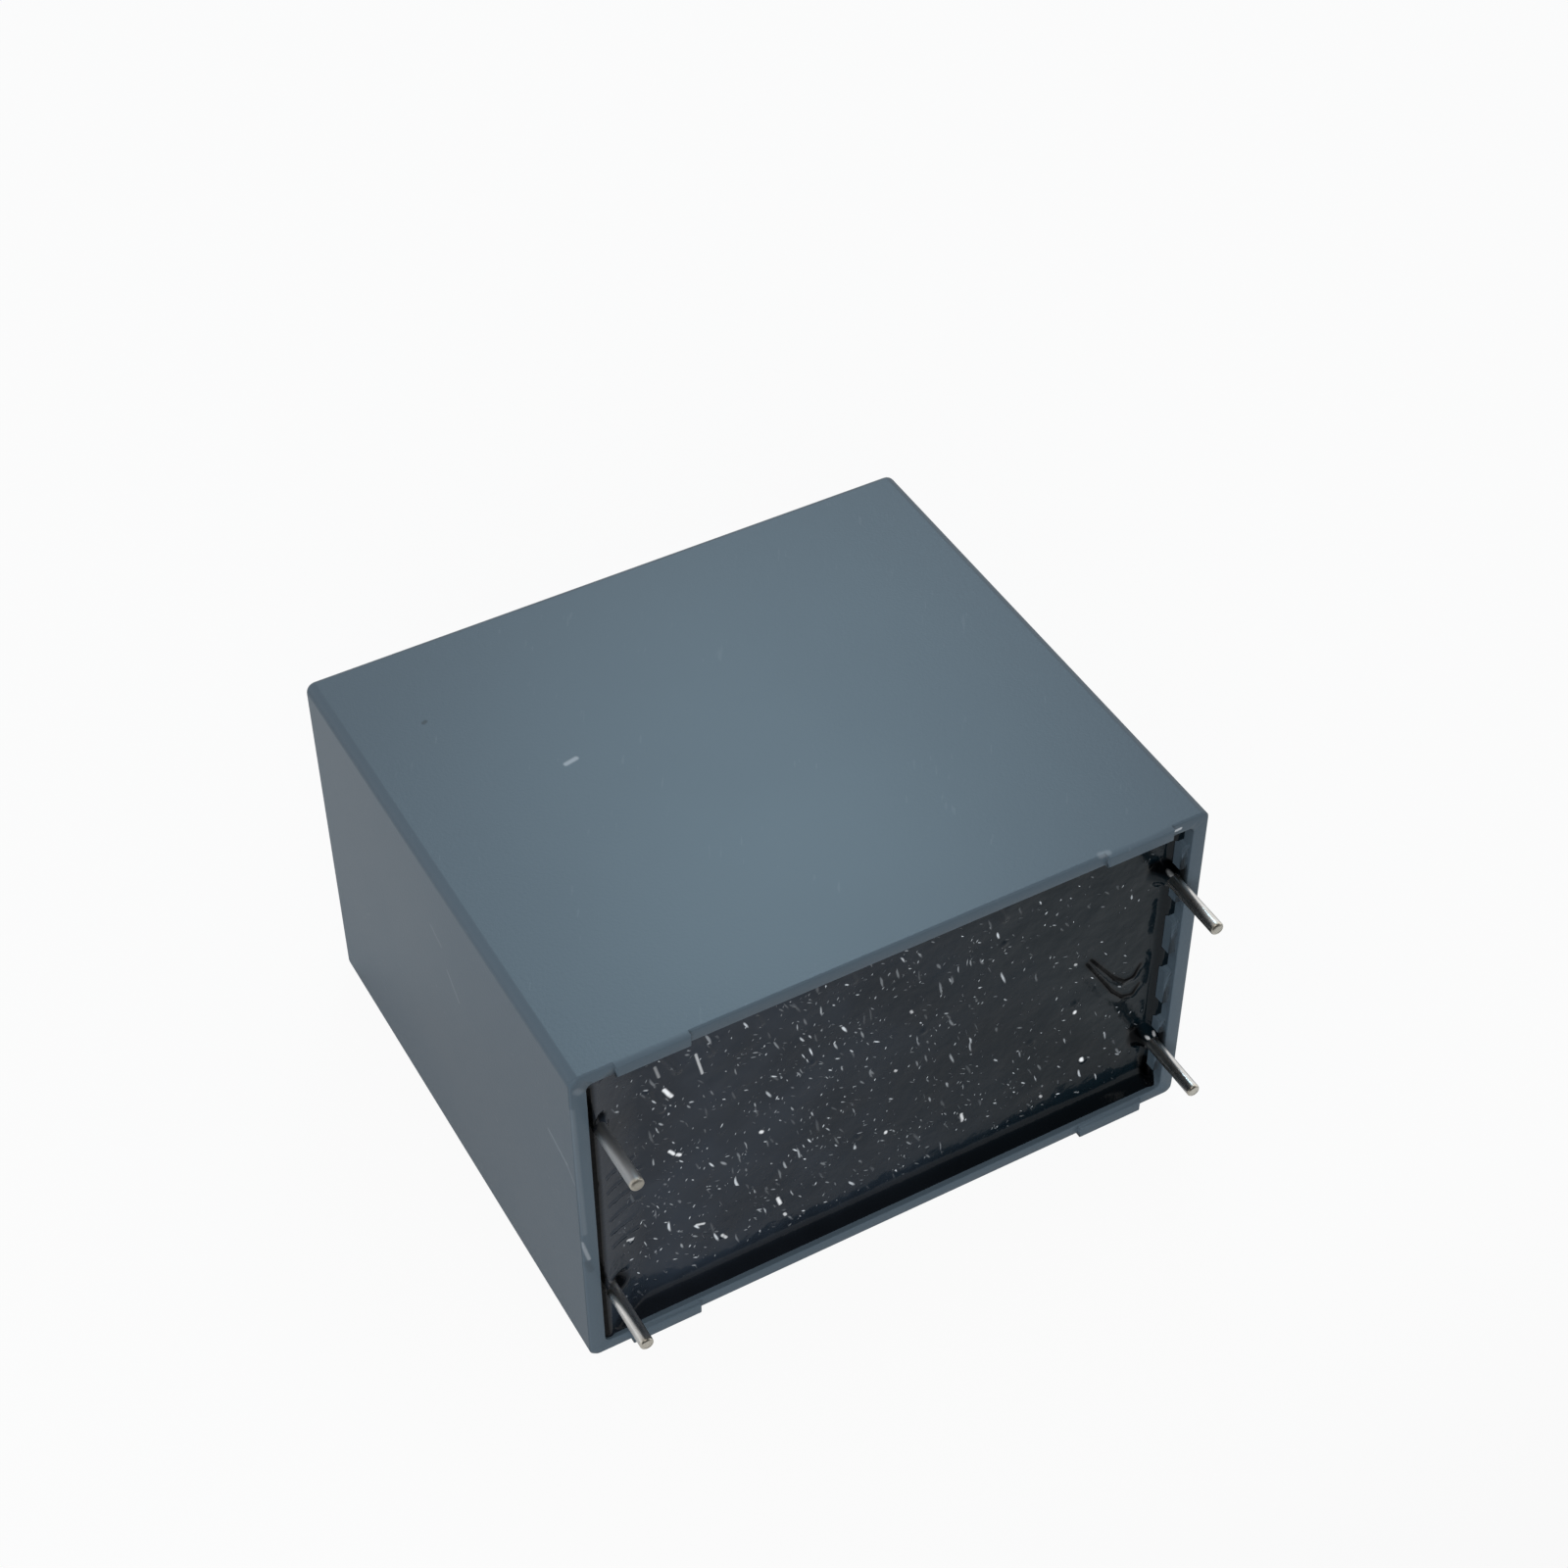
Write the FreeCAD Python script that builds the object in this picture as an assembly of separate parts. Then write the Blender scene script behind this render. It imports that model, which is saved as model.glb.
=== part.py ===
import FreeCAD, Part
import math
import os

from FreeCAD import Vector

# A box film capacitor with four leads, lying on one of its two broad sides.
# X runs along the case, Y from the leads (negative) to the closed end, and Z up from the resting side.
# The origin is the middle of the resting side. All sizes are in millimetres, and angles in degrees.

# Moulded case
case_length = 57.5
case_depth = 50.0
case_height = 35.0
end_wall = 1.45
broad_wall = 1.3
closed_wall = 1.6
draft_angle = 0.4
long_edge_radius = 0.9
closed_edge_radius = 0.6
rim_outer_chamfer = 0.2
rim_inner_chamfer = 0.1
cavity_edge_radius = 0.6

# Guide ribs inside the two end walls, counted from the middle of the height outwards
rib_height = 0.7
rib_setback = 0.35
rib_edge_chamfer = 0.1
middle_channel = 2.3
middle_rib_width = 4.0
inner_guide_width = 1.55
outer_guide_width = 2.7

# Stand-off feet on the rim
foot_height = 0.5
foot_length = 6.3
foot_inset = 3.75
foot_step = 0.1
foot_edge_chamfer = 0.12

# Tinned wire leads
lead_diameter = 1.2
lead_row_pitch = 20.3
lead_free_length = 5.8
lead_tip_chamfer = 0.15
lead_overlap = 24.0
pocket_width = 2.3
pocket_gap = 0.45

# Poured resin, whose levels are depths under the rim. It stands higher at the left end wall, over the ribs
resin_recess = 1.8
meniscus_radius = 1.7
right_meniscus_radius = 0.7
meniscus_overshoot = 0.05
wall_level = 0.4
left_end_level = 0.25
right_end_level = 0.9
collar_level = 0.55
collar_top_radius = 0.8
collar_foot_radius = 1.6

# Two flat windings in their outer wraps
spray_thickness = 0.45
wrap_thickness = 0.25
side_clearance = 0.15
winding_gap = 0.3
closed_end_clearance = 0.5
resin_cover = 2.0

# Solder between a lead and the sprayed end of its winding
solder_length = 10.0
solder_radius = 0.9
solder_film = 0.05
solder_start = 3.0

# How far pieces run into each other, or cutters past a face, before they are joined or cut
embed = 0.3
overrun = 1.0

# Places that follow from the sizes
rim_y = -case_depth / 2
closed_y = case_depth / 2
floor_y = closed_y - closed_wall
mid_z = case_height / 2
cavity_half_x = case_length / 2 - end_wall
cavity_half_z = case_height / 2 - broad_wall
rib_face_x = cavity_half_x - rib_height
lead_radius = lead_diameter / 2
lead_x = cavity_half_x - pocket_gap - lead_radius
lead_row_z = lead_row_pitch / 2
sprayed_face_x = lead_x - lead_radius - solder_film
film_half_x = sprayed_face_x - spray_thickness
draft_slope = math.tan(math.radians(draft_angle))


def drafted(half_size, y):
    """Half of an inner size at depth y, for a size given at the rim."""
    return half_size - (y - rim_y) * draft_slope


def edges_where(shape, keep):
    """The edges of a shape whose two end points both pass a test, which gets the points."""
    chosen = []
    for edge in shape.Edges:
        points = [vertex.Point for vertex in edge.Vertexes]
        if len(points) == 2 and keep(points[0], points[1]):
            chosen.append(edge)
    return chosen


def at_depth(y):
    """A test for edges that lie in the plane at depth y."""
    return lambda a, b: abs(a.y - y) < 1e-4 and abs(b.y - y) < 1e-4


def along_depth(a, b):
    """True for edges that run in from the rim, drafted or not."""
    return abs(a.y - b.y) > 1.0


def make_outer_block():
    """The outside of the case, with its rounded edges."""
    corner = Vector(-case_length / 2, rim_y, 0)
    block = Part.makeBox(case_length, case_depth, case_height, corner)
    block = block.makeFillet(long_edge_radius, edges_where(block, along_depth))
    block = block.makeFillet(closed_edge_radius, edges_where(block, at_depth(closed_y)))
    return block.makeChamfer(rim_outer_chamfer, edges_where(block, at_depth(rim_y)))


def make_cavity(front_y):
    """The drafted space inside the case, from a given depth down to the closed wall."""
    front_x = drafted(cavity_half_x, front_y)
    front_z = drafted(cavity_half_z, front_y)
    deep_x = drafted(cavity_half_x, floor_y)
    deep_z = drafted(cavity_half_z, floor_y)
    block = Part.makeWedge(-front_x, front_y, -front_z, -deep_z, -deep_x,
                           front_x, floor_y, front_z, deep_z, deep_x)
    block.translate(Vector(0, 0, mid_z))
    return block.makeFillet(cavity_edge_radius, edges_where(block, along_depth))


def rib_spans():
    """Where the ribs of one end wall start and end at the rim, upwards from the middle of the height."""
    middle_start = middle_channel / 2
    pocket_start = lead_row_z - pocket_width / 2
    pocket_end = lead_row_z + pocket_width / 2
    return [
        (middle_start, middle_start + middle_rib_width),
        (pocket_start - inner_guide_width, pocket_start),
        (pocket_end, pocket_end + outer_guide_width),
    ]


def make_rib(low, high):
    """One rib of the right end wall, rooted in the wall and in the closed wall behind it."""
    front_y = rim_y + rib_setback
    back_y = floor_y + embed
    root_x = cavity_half_x + embed
    widening = (back_y - front_y) * draft_slope
    rib = Part.makeWedge(drafted(rib_face_x, front_y), front_y, low, low - widening,
                         drafted(rib_face_x, back_y),
                         root_x, back_y, high, high + widening, root_x)
    inner_edges = edges_where(rib, lambda a, b: max(a.x, b.x) < cavity_half_x - embed
                              and min(a.y, b.y) < floor_y)
    return rib.makeChamfer(rib_edge_chamfer, inner_edges)


def mirrored(shape, normal):
    """A copy of a shape on the other side of the middle plane across the given direction."""
    return shape.mirror(Vector(0, 0, mid_z), normal)


def four_ways(shape):
    """A shape from the upper right, and its copies in the other three corners."""
    right = [shape, mirrored(shape, Vector(0, 0, 1))]
    return right + [mirrored(each, Vector(1, 0, 0)) for each in right]


def make_ribs():
    """All the guide ribs of both end walls."""
    ribs = []
    for low, high in rib_spans():
        rib = make_rib(low, high)
        rib.translate(Vector(0, 0, mid_z))
        ribs += four_ways(rib)
    return ribs


def make_feet():
    """The four stand-off feet, as raised stretches of the rim of both broad walls."""
    corner = Vector(case_length / 2 - foot_inset - foot_length, rim_y - foot_height,
                    case_height - broad_wall + foot_step)
    foot = Part.makeBox(foot_length, foot_height + overrun, broad_wall - foot_step, corner)
    top_edges = edges_where(foot, at_depth(rim_y - foot_height))
    return four_ways(foot.makeChamfer(foot_edge_chamfer, top_edges))


def make_case(ribs):
    """The moulded case: an open box with ribbed end walls and feet on its rim."""
    case = make_outer_block().cut(make_cavity(rim_y - overrun))
    inner_rim = [edge for edge in edges_where(case, at_depth(rim_y))
                 if all(abs(v.X) < cavity_half_x + embed
                        and abs(v.Z - mid_z) < cavity_half_z + embed for v in edge.Vertexes)]
    case = case.makeChamfer(rim_inner_chamfer, inner_rim)
    return case.multiFuse(ribs + make_feet()).removeSplitter()


def make_flat_roll(centre_z, thickness, depth, half_width):
    """A flattened roll: straight sides and half-round ends across X, around the winding's middle."""
    radius = thickness / 2
    straight = depth / 2 - radius
    middle_y = winding_middle_y()
    corners = [
        Vector(-half_width, middle_y - straight, centre_z - radius),
        Vector(-half_width, middle_y + straight, centre_z - radius),
        Vector(-half_width, middle_y + straight, centre_z + radius),
        Vector(-half_width, middle_y - straight, centre_z + radius),
    ]
    far_turn = Vector(-half_width, middle_y + straight + radius, centre_z)
    near_turn = Vector(-half_width, middle_y - straight - radius, centre_z)
    outline = Part.Wire([
        Part.LineSegment(corners[0], corners[1]).toShape(),
        Part.Arc(corners[1], far_turn, corners[2]).toShape(),
        Part.LineSegment(corners[2], corners[3]).toShape(),
        Part.Arc(corners[3], near_turn, corners[0]).toShape(),
    ])
    return Part.Face(outline).extrude(Vector(2 * half_width, 0, 0))


def wrapped_depth():
    """How far a wrapped winding reaches along Y."""
    return floor_y - closed_end_clearance - (rim_y + resin_recess + resin_cover)


def winding_middle_y():
    """The middle of a winding along Y."""
    return floor_y - closed_end_clearance - wrapped_depth() / 2


def wrapped_thickness():
    """How thick a wrapped winding is, so that two fit side by side at the narrow end of the cavity."""
    return drafted(cavity_half_z, floor_y) - side_clearance - winding_gap / 2


def make_winding(centre_z):
    """The flattened roll of metallised film."""
    thickness = wrapped_thickness() - 2 * wrap_thickness
    depth = wrapped_depth() - 2 * wrap_thickness
    return make_flat_roll(centre_z, thickness, depth, film_half_x)


def make_wrap(centre_z, winding):
    """The turns of plain film around a winding."""
    return make_flat_roll(centre_z, wrapped_thickness(), wrapped_depth(), film_half_x).cut(winding)


def make_end_spray(centre_z):
    """The sprayed metal on the right end of a winding."""
    thickness = wrapped_thickness() - 2 * wrap_thickness
    depth = wrapped_depth() - 2 * wrap_thickness
    plate = make_flat_roll(centre_z, thickness, depth, spray_thickness / 2)
    plate.translate(Vector(film_half_x + spray_thickness / 2, 0, 0))
    return plate


def make_lead():
    """The upper right lead: its free length up to the rim, and the length that the case holds."""
    tip = Vector(lead_x, rim_y - lead_free_length, mid_z + lead_row_z)
    rim = Vector(lead_x, rim_y, mid_z + lead_row_z)
    held_length = resin_recess + resin_cover + lead_overlap
    free = Part.makeCylinder(lead_radius, lead_free_length, tip, Vector(0, 1, 0))
    held = Part.makeCylinder(lead_radius, held_length, rim, Vector(0, 1, 0))
    tip_edge = [edge for edge in free.Edges if abs(edge.CenterOfMass.y - tip.y) < 1e-4]
    return free.makeChamfer(lead_tip_chamfer, tip_edge).fuse(held)


def make_solder(lead):
    """The solder around the upper right lead: a bead on the sprayed metal."""
    start = Vector(lead_x, rim_y + resin_recess + resin_cover + solder_start, mid_z + lead_row_z)
    bead = Part.makeCylinder(solder_radius, solder_length, start, Vector(0, 1, 0))
    behind_corner = start + Vector(-lead_radius - solder_film - solder_radius, 0, -solder_radius)
    behind_face = Part.makeBox(solder_radius, solder_length, 2 * solder_radius, behind_corner)
    return bead.cut([lead, behind_face])


def make_end_slot(side, level):
    """The air over the resin between the ribs of one end wall, down to a level."""
    width = end_wall + rib_height + embed
    low_x = rib_face_x - embed if side > 0 else -rib_face_x + embed - width
    return Part.makeBox(width, level + overrun, case_height, Vector(low_x, rim_y - overrun, 0))


def make_collars():
    """The four cones in which the resin climbs the leads."""
    foot_y = rim_y + resin_recess + embed
    collar = Part.makeCone(collar_foot_radius, collar_top_radius, foot_y - rim_y - collar_level,
                           Vector(lead_x, foot_y, mid_z + lead_row_z), Vector(0, -1, 0))
    return four_ways(collar)


def make_air():
    """What the resin leaves free under the rim: a dished pool and slots at the ends, less the collars."""
    half_x = rib_face_x + meniscus_overshoot
    half_z = cavity_half_z + meniscus_overshoot
    pool = Part.makeBox(2 * half_x, resin_recess + overrun, 2 * half_z,
                        Vector(-half_x, rim_y - overrun, mid_z - half_z))
    pool_edges = edges_where(pool, at_depth(rim_y + resin_recess))
    right_edge = [edge for edge in pool_edges if edge.CenterOfMass.x > half_x - embed]
    pool = pool.makeFillet(right_meniscus_radius, right_edge)
    other_edges = [edge for edge in edges_where(pool, at_depth(rim_y + resin_recess))
                   if edge.CenterOfMass.x < half_x - overrun]
    pool = pool.makeFillet(meniscus_radius, other_edges)
    slots = [make_end_slot(-1, left_end_level), make_end_slot(1, right_end_level)]
    return pool.multiFuse(slots).cut(make_collars())


def make_resin(ribs, inner_parts):
    """The poured resin, which fills the case around everything that it holds."""
    fill = make_cavity(rim_y + wall_level)
    return fill.cut(ribs + [make_air()] + inner_parts)


def build_part():
    """Every solid of the capacitor by its name."""
    ribs = make_ribs()
    solids = {"case": make_case(ribs)}
    for level, side in (("upper", 1), ("lower", -1)):
        centre_z = mid_z + side * (winding_gap + wrapped_thickness()) / 2
        winding = make_winding(centre_z)
        solids[f"film_winding_{level}"] = winding
        solids[f"outer_wrap_{level}"] = make_wrap(centre_z, winding)
        right_spray = make_end_spray(centre_z)
        solids[f"end_spray_{level}_right"] = right_spray
        solids[f"end_spray_{level}_left"] = mirrored(right_spray, Vector(1, 0, 0))
    lead = make_lead()
    solder = make_solder(lead)
    places = ("upper_right", "lower_right", "upper_left", "lower_left")
    for place, wire, bead in zip(places, four_ways(lead), four_ways(solder)):
        solids[f"lead_{place}"] = wire
        solids[f"solder_{place}"] = bead
    inner_parts = [shape for name, shape in solids.items() if name != "case"]
    solids["resin_fill"] = make_resin(ribs, inner_parts)
    return solids


def main():
    """Build the capacitor and write one file for each solid."""
    os.makedirs("parts", exist_ok=True)
    for name, shape in build_part().items():
        print(name, len(shape.Solids), "solid", round(shape.Volume, 3), "mm3", shape.isValid())
        shape.exportStep(f"parts/{name}.step")


main()
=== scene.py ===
"""Dresses the box film capacitor: moulded case, poured resin, tinned leads and a plain studio around them."""
import math

import bpy
from bpy.props import FloatProperty, FloatVectorProperty, IntProperty, PointerProperty
from mathutils import Matrix, Vector


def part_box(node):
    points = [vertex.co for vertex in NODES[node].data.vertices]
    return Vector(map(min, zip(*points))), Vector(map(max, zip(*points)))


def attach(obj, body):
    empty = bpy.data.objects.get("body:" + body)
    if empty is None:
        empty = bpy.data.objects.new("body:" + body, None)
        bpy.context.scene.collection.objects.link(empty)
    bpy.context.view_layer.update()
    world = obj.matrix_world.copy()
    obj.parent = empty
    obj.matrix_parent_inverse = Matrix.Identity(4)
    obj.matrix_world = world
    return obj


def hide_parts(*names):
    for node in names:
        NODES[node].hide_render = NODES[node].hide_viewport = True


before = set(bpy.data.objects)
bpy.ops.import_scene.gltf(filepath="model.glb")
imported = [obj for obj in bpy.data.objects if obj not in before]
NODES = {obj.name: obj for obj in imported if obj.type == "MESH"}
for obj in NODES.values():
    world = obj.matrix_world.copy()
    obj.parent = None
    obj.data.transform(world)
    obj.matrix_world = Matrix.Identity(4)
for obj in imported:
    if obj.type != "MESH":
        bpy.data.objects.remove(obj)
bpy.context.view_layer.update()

bl_info = {
    "name": "Box Film Capacitor",
    "version": (1, 0, 0),
    "blender": (4, 5, 0),
    "location": "3D View > Sidebar > Capacitor",
    "description": "Dresses a potted box film capacitor and sets up a plain studio for it",
    "category": "Object",
}

MM = 0.001

CASE_LOW, CASE_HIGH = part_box("case")
LEAD_LOW, LEAD_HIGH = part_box("lead_upper_right")
LEAD_RADIUS = (LEAD_HIGH.x - LEAD_LOW.x) / 2
LEAD_X = (LEAD_LOW.x + LEAD_HIGH.x) / 2
MID_Z = (CASE_LOW.z + CASE_HIGH.z) / 2
LEAD_Z = (LEAD_LOW.z + LEAD_HIGH.z) / 2 - MID_Z
FOOT_HEIGHT = 0.5 * MM
RIM_Y = CASE_LOW.y + FOOT_HEIGHT
SMOOTH_ANGLE = math.radians(50)
LEAST_WEIGHT = 0.0005

CORNERS = ("upper_right", "lower_right", "upper_left", "lower_left")
LEADS = tuple("lead_" + corner for corner in CORNERS)
INNER_SOLIDS = (
    "film_winding_upper", "film_winding_lower", "outer_wrap_upper", "outer_wrap_lower",
    *("end_spray_" + corner for corner in CORNERS), *("solder_" + corner for corner in CORNERS),
)


# Sizes and colours that a user would change


def length(name, description, millimetres):
    """A length that the user can change."""
    return FloatProperty(name=name, description=description, default=millimetres * MM, unit="LENGTH", precision=5)


def number(name, description, default, **more):
    """A value from 0 upwards that the user can change."""
    return FloatProperty(name=name, description=description, default=default, min=0, **more)


def tint(name, description, default):
    """A colour that the user can change."""
    return FloatVectorProperty(
        name=name, description=description, default=default, subtype="COLOR", size=3, min=0, max=1)


class CaseFinish(bpy.types.PropertyGroup):
    """Look of the moulded case"""

    colour: tint("Plastic colour", "Colour of the moulded case", (0.0675, 0.0945, 0.1195))
    roughness: number("Roughness", "How matt the moulded face is", 0.33, max=1)
    grain: FloatProperty(
        name="Grain size", description="Size of the fine grain that the mould leaves",
        default=0.00028, min=0.00005, unit="LENGTH", precision=5)
    drift: number("Tone drift", "How far the tone wanders over a face", 0.03, max=1)


class ResinPour(bpy.types.PropertyGroup):
    """Shape and look of the poured resin"""

    pool_depth: length("Pool depth", "How far the resin lies under the rim", 1.8)
    wall_level: length("Wall level", "How far under the rim the resin stops on the walls", 0.4)
    left_level: length(
        "Left end level", "How far under the rim the resin stands at the left end wall, over its ribs", 0.25)
    right_level: length(
        "Right end level", "How far under the rim the resin stands between the right wall's ribs", 0.9)
    cove_radius: length("Cove radius", "Radius of the resin's rise to the broad walls", 1.7)
    ramp_length: length("Ramp length", "Length over which the resin climbs to its level at the left end", 4.2)
    right_cove_radius: length("Right cove radius", "Radius of the resin's rise to the right end's ribs", 0.7)
    rib_face: length("Rib face", "Distance of the ribs' faces from the middle", 26.6)
    wall_face: length("Wall face", "Distance of the broad walls' inner faces from the middle", 16.2)
    collar_radius: length(
        "Collar radius", "Radius of the foot of the collar in which the resin climbs a lead", 1.75)
    collar_level: length("Collar level", "How far under the rim a collar ends on its lead", 0.55)
    columns: IntProperty(
        name="Columns", description="Steps of the resin's face along the case", default=330, min=40)
    rows: IntProperty(
        name="Rows", description="Steps of the resin's face up the case", default=198, min=24)
    colour: tint("Resin colour", "Colour of the resin under its gloss", (0.0158, 0.0222, 0.0325))
    # painted shade: the colour to which the resin darkens towards the right
    far_colour: tint(
        "Resin colour, right", "Colour to which the resin shifts towards the right", (0.0010, 0.0050, 0.0080))


class LeadWire(bpy.types.PropertyGroup):
    """Shape and look of the four leads"""

    tip_round: length("Tip rounding", "Radius of the tinned edge at a lead's cut end", 0.2)
    unevenness: FloatProperty(
        name="Tin unevenness", description="How far the tin coat swells and thins",
        default=0.006 * MM, unit="LENGTH", precision=6)
    colour: tint("Tin colour", "Colour of the tin coat", (0.74, 0.73, 0.71))


class StudioSetup(bpy.types.PropertyGroup):
    """Floor, lamps and camera"""

    floor_tone: number("Floor tone", "Lightness of the floor", 0.55, max=1)
    sky: number("Sky strength", "Strength of the soft light from all around", 0.56)
    key: number("Overhead lamp", "Power of the wide overhead lamp", 0.36, unit="POWER")
    sheen: number(
        "Sheen lamp", "Power of the cool lamp behind, whose sheen lies on the broad side", 0.48, unit="POWER")
    side: number(
        "Side lamp", "Power of the cool soft lamp on the left, which no mirror face shows", 0.30, unit="POWER")
    front: number("Front lamp", "Power of the soft lamp in front, which no mirror face shows", 2.4, unit="POWER")
    focal_length: FloatProperty(
        name="Focal length", description="Focal length of the camera in millimetres", default=67.41, min=1)
    camera_place: FloatVectorProperty(
        name="Camera place", description="Where the camera stands", size=3, subtype="TRANSLATION",
        unit="LENGTH", default=(-0.08253, -0.15385, 0.20138))


# Modelling helpers


def deselect_all():
    """Leaves object mode with nothing selected."""
    if bpy.context.object and bpy.context.object.mode != "OBJECT":
        bpy.ops.object.mode_set(mode="OBJECT")
    bpy.ops.object.select_all(action="DESELECT")


def make_active(piece):
    """Selects one object alone."""
    deselect_all()
    piece.select_set(True)
    bpy.context.view_layer.objects.active = piece


def settle(piece):
    """Puts a piece's place, turn and scale into its mesh, so its object sits at the origin."""
    make_active(piece)
    bpy.ops.object.transform_apply(location=True, rotation=True, scale=True)
    return piece


def pick(piece, kind, wanted):
    """Enters edit mode with only those vertices, edges or faces selected that pass a test."""
    make_active(piece)
    bpy.ops.object.mode_set(mode="EDIT")
    bpy.ops.mesh.select_mode(type=kind)
    bpy.ops.mesh.select_all(action="DESELECT")
    bpy.ops.object.mode_set(mode="OBJECT")
    mesh = piece.data
    items = {"VERT": mesh.vertices, "EDGE": mesh.edges, "FACE": mesh.polygons}[kind]
    for item in items:
        item.select = wanted(item)
    bpy.ops.object.mode_set(mode="EDIT")


def pick_open_edges(piece):
    """Enters edit mode with only the edges selected that have a face on one side alone."""
    pick(piece, "EDGE", lambda edge: False)
    bpy.ops.mesh.select_non_manifold(
        extend=False, use_wire=False, use_multi_face=False, use_non_contiguous=False, use_verts=False)


def edge_ends(piece, edge):
    """The places of an edge's two ends."""
    return [piece.data.vertices[i].co for i in edge.vertices]


def apply_modifier(piece, kind, name, **settings):
    """Adds a modifier with the given settings and applies it."""
    modifier = piece.modifiers.new(name, kind)
    for key, value in settings.items():
        setattr(modifier, key, value)
    make_active(piece)
    bpy.ops.object.modifier_apply(modifier=modifier.name)


def weigh(piece, name, weight_at):
    """A vertex group whose weights follow each point's place across and up the face, in millimetres."""
    group = piece.vertex_groups.new(name=name)
    for vertex in piece.data.vertices:
        weight = weight_at(vertex.co.x / MM, (vertex.co.z - MID_Z) / MM)
        if weight > LEAST_WEIGHT:
            group.add([vertex.index], min(weight, 1.0), "REPLACE")


def push_out(piece, group, height, texture=None):
    """Moves a weighted part of the face out of the case by a height, shaped by a texture if one is given."""
    settings = {"direction": "Y", "strength": -height, "mid_level": 0.0, "vertex_group": group}
    if texture:
        settings.update(texture=texture, texture_coords="LOCAL", mid_level=0.5)
    apply_modifier(piece, "DISPLACE", "push " + group, **settings)


def clouds(name, size, basis):
    """A texture of soft lumps of a size."""
    texture = bpy.data.textures.new(name, "CLOUDS")
    texture.noise_scale = size
    texture.noise_depth = 1
    texture.noise_basis = basis
    return texture


def smooth(piece):
    """Smooths a piece's shading over all but its sharp edges."""
    make_active(piece)
    bpy.ops.object.shade_smooth_by_angle(angle=SMOOTH_ANGLE)


def merged_copy(node, name):
    """A closed copy of a CAD node, with its loose triangles joined."""
    copy = NODES[node].copy()
    copy.data = NODES[node].data.copy()
    copy.parent = None
    copy.name = name
    for key in list(copy.keys()):
        del copy[key]
    bpy.context.scene.collection.objects.link(copy)
    copy.hide_viewport = copy.hide_render = False
    pick(copy, "VERT", lambda vertex: True)
    bpy.ops.mesh.remove_doubles(threshold=0.000001)
    deselect_all()
    return copy


# Shading helpers


def start_material(name):
    """A new material with its node tree, its shader and object coordinates."""
    material = bpy.data.materials.new(name)
    material.use_nodes = True
    tree = material.node_tree
    shader = tree.nodes["Principled BSDF"]
    place = tree.nodes.new("ShaderNodeTexCoord").outputs["Object"]
    return material, tree, shader, place


def fill(tree, node, inputs):
    """Sets a node's inputs to values, or links them to sockets."""
    for key, value in inputs.items():
        if isinstance(value, bpy.types.NodeSocket):
            tree.links.new(value, node.inputs[key])
        else:
            node.inputs[key].default_value = value


def add_node(tree, kind, inputs=None, **settings):
    """A node with its settings, and with its inputs filled."""
    node = tree.nodes.new(kind)
    for key, value in settings.items():
        setattr(node, key, value)
    fill(tree, node, inputs or {})
    return node


def maths(tree, operation, *values, clamp=False):
    """The result of a maths node on values or sockets."""
    node = add_node(tree, "ShaderNodeMath", dict(enumerate(values)), operation=operation, use_clamp=clamp)
    return node.outputs[0]


def vector_maths(tree, operation, *vectors, scale=None):
    """The result of a vector maths node on vectors, and on a scale if one is given."""
    inputs = dict(enumerate(vectors))
    if scale is not None:
        inputs["Scale"] = scale
    node = add_node(tree, "ShaderNodeVectorMath", inputs, operation=operation)
    return node.outputs["Value" if operation in ("DOT_PRODUCT", "DISTANCE") else "Vector"]


def noise(tree, place, scale, detail, roughness=0.5, output="Fac"):
    """The value or colour of a noise texture."""
    node = add_node(tree, "ShaderNodeTexNoise", {
        "Vector": place, "Scale": scale, "Detail": detail, "Roughness": roughness})
    return node.outputs[output]


def split(tree, vector):
    """The three parts of a vector: across, back and up on a piece."""
    return tuple(add_node(tree, "ShaderNodeSeparateXYZ", {"Vector": vector}).outputs)


def remap(tree, value, low, high, to_low=0.0, to_high=1.0):
    """A value's range stretched to another range, clamped and eased."""
    node = add_node(tree, "ShaderNodeMapRange", {
        "Value": value, "From Min": low, "From Max": high, "To Min": to_low, "To Max": to_high},
        interpolation_type="SMOOTHSTEP")
    return node.outputs["Result"]


def blend_colours(tree, factor, first, second):
    """Two colours mixed by a factor."""
    return add_node(tree, "ShaderNodeMix", {0: factor, 6: first, 7: second}, data_type="RGBA").outputs[2]


def opaque(colour):
    """A colour with full alpha."""
    return (colour[0], colour[1], colour[2], 1.0)


def start_group(name, inputs, outputs):
    """An empty node group that takes a place and the named inputs, each with its kind and default."""
    group = bpy.data.node_groups.new(name, "ShaderNodeTree")
    for label, kind, default in [("Place", "Vector", None)] + inputs:
        socket = group.interface.new_socket(name=label, in_out="INPUT", socket_type="NodeSocket" + kind)
        if default is not None:
            socket.default_value = default
    for label, kind in outputs:
        group.interface.new_socket(name=label, in_out="OUTPUT", socket_type="NodeSocket" + kind)
    return group, group.nodes.new("NodeGroupInput").outputs, group.nodes.new("NodeGroupOutput").inputs


def grain_group(name):
    """The height of a fine grain."""
    group, given, made = start_group(
        name, [("Size", "Float", 0.0003), ("Roughness", "Float", 0.55)], [("Height", "Float")])
    density = maths(group, "DIVIDE", 1.0, given["Size"])
    group.links.new(noise(group, given["Place"], density, 3.0, given["Roughness"]), made["Height"])
    return group


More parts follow.
